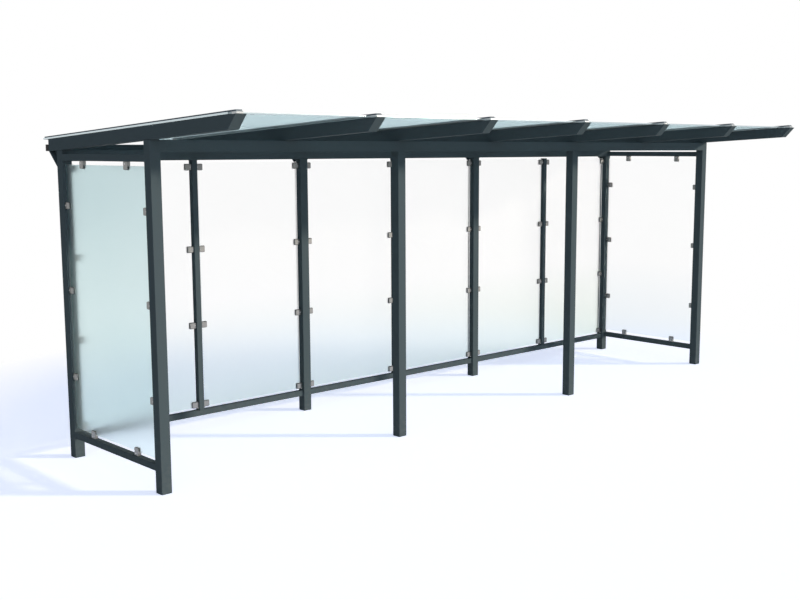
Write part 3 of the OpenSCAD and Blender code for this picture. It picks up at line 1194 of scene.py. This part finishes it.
@dataclass
class Studio:
    """Floor, lights, world and camera."""

    floor_size: float = 160.0
    floor_colour: Colour = (0.94, 0.96, 0.98)
    floor_rough: float = 0.9
    floor_specular: float = 0.1
    floor_glow: Colour = (0.545, 0.59, 0.735)
    fade: Range = (4.1, 5.6)
    ambient: Colour = (0.172, 0.190, 0.215)
    full_side: Triple = (-0.30, -0.95, 0.0)
    fullness: Range = (0.50, 4.2)
    sun_colour: Colour = (1.0, 0.88, 0.75)
    sun_energy: float = 2.9
    sun_toward: Triple = (0.695, -0.665, 0.267)
    sun_angle: float = 3.5
    lens: float = 49.29687
    sensor: float = 36.0
    shift: Range = (-0.0357625, 0.0050125)
    sight: float = 400.0
    eye_from_post: Triple = (-3.74224, -6.54193, 2.37106)
    yaw: float = 0.76651
    pitch: float = 0.14087
    roll: float = -0.0008

    def build(self) -> None:
        """Builds everything that isn't part of the shelter."""
        self._floor()
        self._world()
        self._sun()
        self._camera()

    def _floor(self) -> None:
        """A pale floor that fades to the white background far from the shelter."""
        bm = bmesh.new()
        bmesh.ops.create_grid(bm, x_segments=4, y_segments=4, size=self.floor_size / 2)
        mesh = bpy.data.meshes.new("floor")
        bm.to_mesh(mesh)
        bm.free()
        floor = bpy.data.objects.new("floor", mesh)
        bpy.context.scene.collection.objects.link(floor)
        floor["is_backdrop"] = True
        mesh.materials.append(self._floor_material())

    def _floor_material(self) -> bpy.types.Material:
        """Makes the floor's material.

        Returns:
            A matt surface that keeps the shelter's shadow, plus a glow that only background rays see.
        """
        material, g, shader, where = start_material("pale_floor")
        shader.inputs["Base Color"].default_value = rgba(self.floor_colour)
        shader.inputs["Roughness"].default_value = self.floor_rough
        shader.inputs["Specular IOR Level"].default_value = self.floor_specular
        seen = self._background_rays(g)
        glow = g.add("ShaderNodeEmission")
        glow.inputs["Color"].default_value = rgba(self.floor_glow)
        g.link(seen, glow.inputs["Strength"])
        ground = g.add("ShaderNodeAddShader")
        g.link(shader.outputs[0], ground.inputs[0])
        g.link(glow.outputs[0], ground.inputs[1])
        white = g.add("ShaderNodeEmission")
        length = g.add("ShaderNodeVectorMath", operation="LENGTH")
        g.link(where.outputs["Object"], length.inputs[0])
        far = g.span(length.outputs["Value"], *self.fade)
        mix = g.add("ShaderNodeMixShader")
        g.link(g.math("MULTIPLY", far, seen), mix.inputs[0])
        g.link(ground.outputs[0], mix.inputs[1])
        g.link(white.outputs[0], mix.inputs[2])
        out = next(n for n in material.node_tree.nodes if n.type == "OUTPUT_MATERIAL")
        g.link(mix.outputs[0], out.inputs["Surface"])
        return material

    @staticmethod
    def _background_rays(g: Graph) -> bpy.types.NodeSocket:
        """Adds a mask for the rays that show the background, straight or in metal and glass.

        Args:
            g: The floor's or the world's graph.

        Returns:
            The mask.
        """
        path = g.add("ShaderNodeLightPath")
        seen = g.math("MAXIMUM", path.outputs["Is Camera Ray"],
                      g.math("MAXIMUM", path.outputs["Is Glossy Ray"], path.outputs["Is Transmission Ray"]))
        first = g.math("LESS_THAN", path.outputs["Diffuse Depth"], 0.5)
        return g.math("MULTIPLY", seen, first)

    def _world(self) -> None:
        """Cool soft light, fuller from the front left, with a white background where it is seen."""
        world = bpy.data.worlds.new("studio")
        bpy.context.scene.world = world
        world.use_nodes = True
        g = Graph(world.node_tree)
        back = next(n for n in world.node_tree.nodes if n.type == "BACKGROUND")
        where = g.add("ShaderNodeTexCoord")
        toward = g.add("ShaderNodeVectorMath", operation="DOT_PRODUCT")
        g.link(where.outputs["Generated"], toward.inputs[0])
        toward.inputs[1].default_value = self.full_side
        share = g.span(toward.outputs["Value"], 0.0, 1.0, *self.fullness)
        scale = g.add("ShaderNodeVectorMath", operation="SCALE")
        scale.inputs[0].default_value = self.ambient
        g.link(share, scale.inputs["Scale"])
        g.link(g.blend(self._background_rays(g), scale.outputs[0], (1, 1, 1, 1)), back.inputs["Color"])

    def _sun(self) -> None:
        """One low soft light from the front right."""
        light = bpy.data.lights.new("key", "SUN")
        light.energy = self.sun_energy
        light.color = self.sun_colour
        light.angle = math.radians(self.sun_angle)
        lamp = bpy.data.objects.new("key", light)
        bpy.context.scene.collection.objects.link(lamp)
        lamp.rotation_euler = Vector(self.sun_toward).to_track_quat("Z", "Y").to_euler()

    def _camera(self) -> None:
        """The camera at the shelter's front left, placed from the near post's outer corner."""
        data = bpy.data.cameras.new("camera")
        data.sensor_width = self.sensor
        data.lens = self.lens
        data.shift_x, data.shift_y = self.shift
        data.clip_end = self.sight
        camera = bpy.data.objects.new("camera", data)
        bpy.context.scene.collection.objects.link(camera)
        turn = (Matrix.Rotation(-self.yaw, 4, "Z") @ Matrix.Rotation(math.pi / 2 - self.pitch, 4, "X")
                @ Matrix.Rotation(self.roll, 4, "Z"))
        corner = cad("front_post_1")[0]
        camera.matrix_world = Matrix.Translation(Vector(self.eye_from_post) + corner) @ turn
        bpy.context.scene.camera = camera


def main() -> None:
    """Builds the shelter's looks in order."""
    logging.basicConfig(level=logging.INFO, format="%(name)s: %(message)s")
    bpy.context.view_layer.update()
    wardrobe = Wardrobe()
    CadDress(wardrobe).dress()
    clamps = ClampTrim(wardrobe)
    clamps.build("back_clamps", family("back_glass"))
    clamps.build("side_clamps", family("side_glass"))
    slope = RoofSlope.measured()
    BarTrim(wardrobe, slope).build()
    PaneTrim(wardrobe, slope).build()
    TailPlugs(wardrobe).build()
    WeldBeads(wardrobe).build()
    Studio().build()
    bpy.context.scene.view_settings.view_transform = "Standard"


if __name__ == "__main__":
    main()
